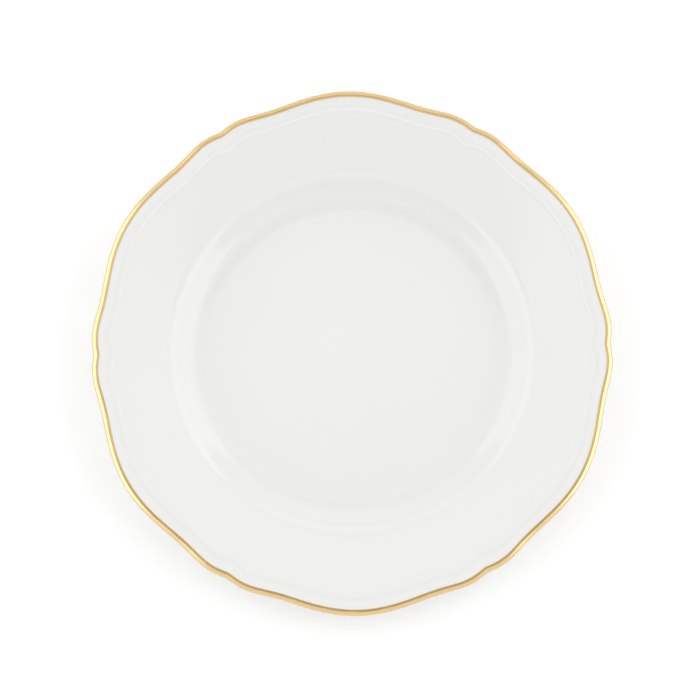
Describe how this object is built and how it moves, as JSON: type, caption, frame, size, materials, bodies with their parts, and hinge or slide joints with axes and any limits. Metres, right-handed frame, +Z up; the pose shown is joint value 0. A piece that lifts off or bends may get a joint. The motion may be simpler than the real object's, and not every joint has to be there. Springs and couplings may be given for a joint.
{
  "type": "dinner plate",
  "caption": "White porcelain dinner plate with a scalloped gold-edged rim, an embossed line inside the edge and a round flat well on a foot ring.",
  "frame": {"origin": "centre of the plane that the foot ring rests on", "axes": "+Z up out of the well, the plate lying flat; +Y through the crown of a rim lobe; X through two opposite notches between lobes"},
  "size_m": [0.2666, 0.2702, 0.025],
  "materials": {
    "bare_porcelain": "unglazed, ground smooth and matt",
    "white_glaze": "glossy clear glaze over white porcelain",
    "gold": "polished fired gold"
  },
  "bodies": {
    "root": {"porcelain_body": "bare_porcelain", "glaze_coat": "white_glaze", "recess_glaze": "white_glaze", "gold_rim_band": "gold"}
  },
  "joints": []
}
